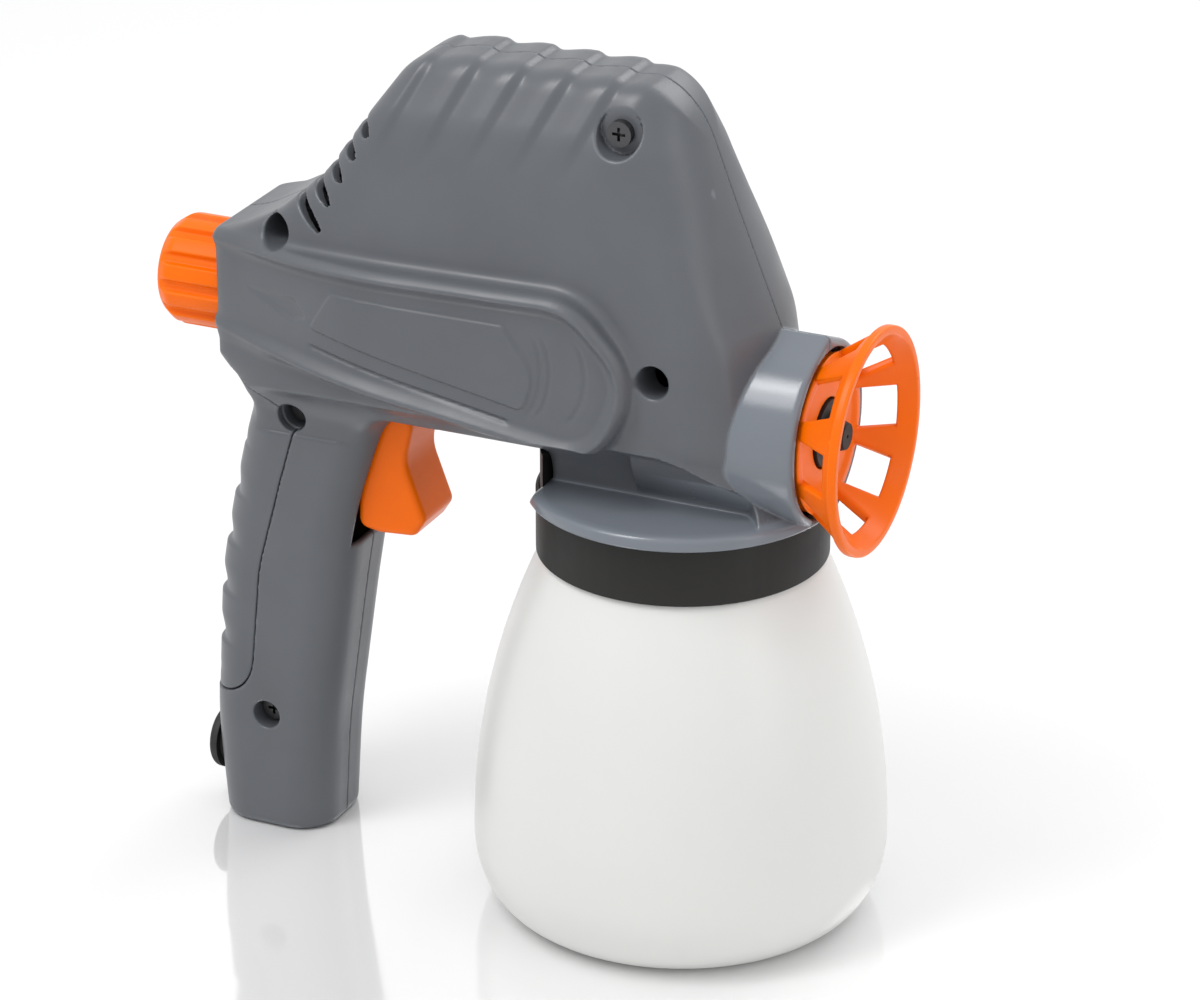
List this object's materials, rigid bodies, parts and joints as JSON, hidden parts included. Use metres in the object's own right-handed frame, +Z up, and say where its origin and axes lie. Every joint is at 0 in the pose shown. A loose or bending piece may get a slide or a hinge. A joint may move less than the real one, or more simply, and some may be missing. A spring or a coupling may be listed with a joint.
{
  "type": "airless paint sprayer",
  "caption": "Handheld electric airless paint sprayer: pistol-grip clamshell body, windowed spray guard, flow knob, finger trigger and screw-on paint jar.",
  "frame": {"origin": "centre of the jar's flat foot, on the surface that the jar and the grip stand on", "axes": "+X is the spray direction, +Z is up along the jar's axis, and the two housing halves part on the XZ plane"},
  "size_m": [0.2056, 0.112, 0.2335],
  "materials": {
    "body_grey": "satin fine-textured moulding",
    "accent_orange": "glossy moulding",
    "jar_white": "translucent satin polyethylene",
    "pump_black": "fine-textured glass-filled nylon",
    "rubber_black": "matte",
    "steel": "ground",
    "core_steel": "laminated, oiled",
    "screw_steel": "zinc plated",
    "brass": "turned",
    "copper_winding": "enamelled wire",
    "bobbin_white": "nylon",
    "tube_clear": "natural polyethylene",
    "switch_black": "moulded phenolic"
  },
  "bodies": {
    "gun": {"housing_right": "body_grey", "housing_left": "body_grey", "grip_backstrap": "body_grey", "housing_screws": "screw_steel", "core_screws": "screw_steel", "cord_clamp_screws": "screw_steel", "pump_housing": "pump_black", "pump_liner": "steel", "outlet_valve_seat": "steel", "suction_tube": "tube_clear", "suction_strainer": "tube_clear", "return_tube": "tube_clear", "stator_core": "core_steel", "coil_bobbin": "bobbin_white", "coil_winding": "copper_winding", "armature_pin": "steel", "trigger_pin": "steel", "knob_bush": "brass", "micro_switch": "switch_black", "cord_gland": "rubber_black", "cord_clamp": "bobbin_white", "terminal_block": "bobbin_white", "piston_spring": "steel", "trigger_spring": "steel", "valve_spring": "steel"},
    "trigger": {"trigger": "accent_orange"},
    "switch_plunger": {"switch_plunger": "accent_orange"},
    "knob": {"control_knob": "accent_orange"},
    "adjuster": {"adjuster_spindle": "steel", "spindle_buffer": "rubber_black"},
    "armature": {"armature": "core_steel"},
    "piston": {"piston": "steel"},
    "valve_ball": {"valve_ball": "steel"},
    "nozzle": {"nozzle_insert": "pump_black", "nozzle_ring": "rubber_black"},
    "guard": {"spray_guard": "accent_orange"},
    "seal": {"jar_seal": "rubber_black"},
    "jar": {"jar": "jar_white"}
  },
  "joints": [
    {"name": "trigger_pull", "type": "hinge", "parent": "gun", "child": "trigger", "pos_m": [-0.08, 0, 0.1375], "axis": [0, 1, 0], "range_deg": [0, 9], "stiffness_Nm_per_rad": 1.2, "springref_deg": -6.88, "deforming": ["trigger_spring"]},
    {"name": "switch_press", "type": "slide", "parent": "gun", "child": "switch_plunger", "axis": [-1, 0, 0], "range_m": [0, 0.0053]},
    {"name": "knob_turn", "type": "hinge", "parent": "gun", "child": "knob", "pos_m": [-0.138, 0, 0.1577], "axis": [-1, 0, 0], "range_deg": [0, 300]},
    {"name": "adjuster_travel", "type": "slide", "parent": "gun", "child": "adjuster", "axis": [-1, 0, 0], "range_m": [0, 0.00205]},
    {"name": "armature_swing", "type": "hinge", "parent": "gun", "child": "armature", "pos_m": [-0.0665, 0, 0.2195], "axis": [0, -1, 0], "range_deg": [0, 2.14], "stiffness_Nm_per_rad": 8, "springref_deg": -2.29},
    {"name": "piston_stroke", "type": "slide", "parent": "gun", "child": "piston", "axis": [1, 0, 0], "range_m": [0, 0.003], "deforming": ["piston_spring"]},
    {"name": "valve_lift", "type": "slide", "parent": "gun", "child": "valve_ball", "axis": [1, 0, 0], "range_m": [0, 0.001], "stiffness_N_per_m": 300, "springref_m": -0.002, "deforming": ["valve_spring"]},
    {"name": "nozzle_travel", "type": "slide", "parent": "gun", "child": "nozzle", "axis": [1, 0, 0], "range_m": [0, 0.00405]},
    {"name": "guard_turn", "type": "hinge", "parent": "nozzle", "child": "guard", "pos_m": [0.04, 0, 0.1419], "axis": [1, 0, 0], "range_deg": [0, 720]},
    {"name": "jar_drop", "type": "slide", "parent": "gun", "child": "seal", "axis": [0, 0, -1], "range_m": [0, 0.00505]},
    {"name": "jar_turn", "type": "hinge", "parent": "seal", "child": "jar", "pos_m": [0, 0, 0.1], "axis": [0, 0, -1], "range_deg": [0, 450]}
  ],
  "couplings": [
    {"joint": "switch_press", "follows": "trigger_pull", "m_per_rad": 0.033},
    {"joint": "adjuster_travel", "follows": "knob_turn", "m_per_rad": 0.00038197},
    {"joint": "piston_stroke", "follows": "armature_swing", "m_per_rad": 0.0776},
    {"joint": "nozzle_travel", "follows": "guard_turn", "m_per_rad": 0.00031831},
    {"joint": "jar_drop", "follows": "jar_turn", "m_per_rad": 0.00063662}
  ]
}
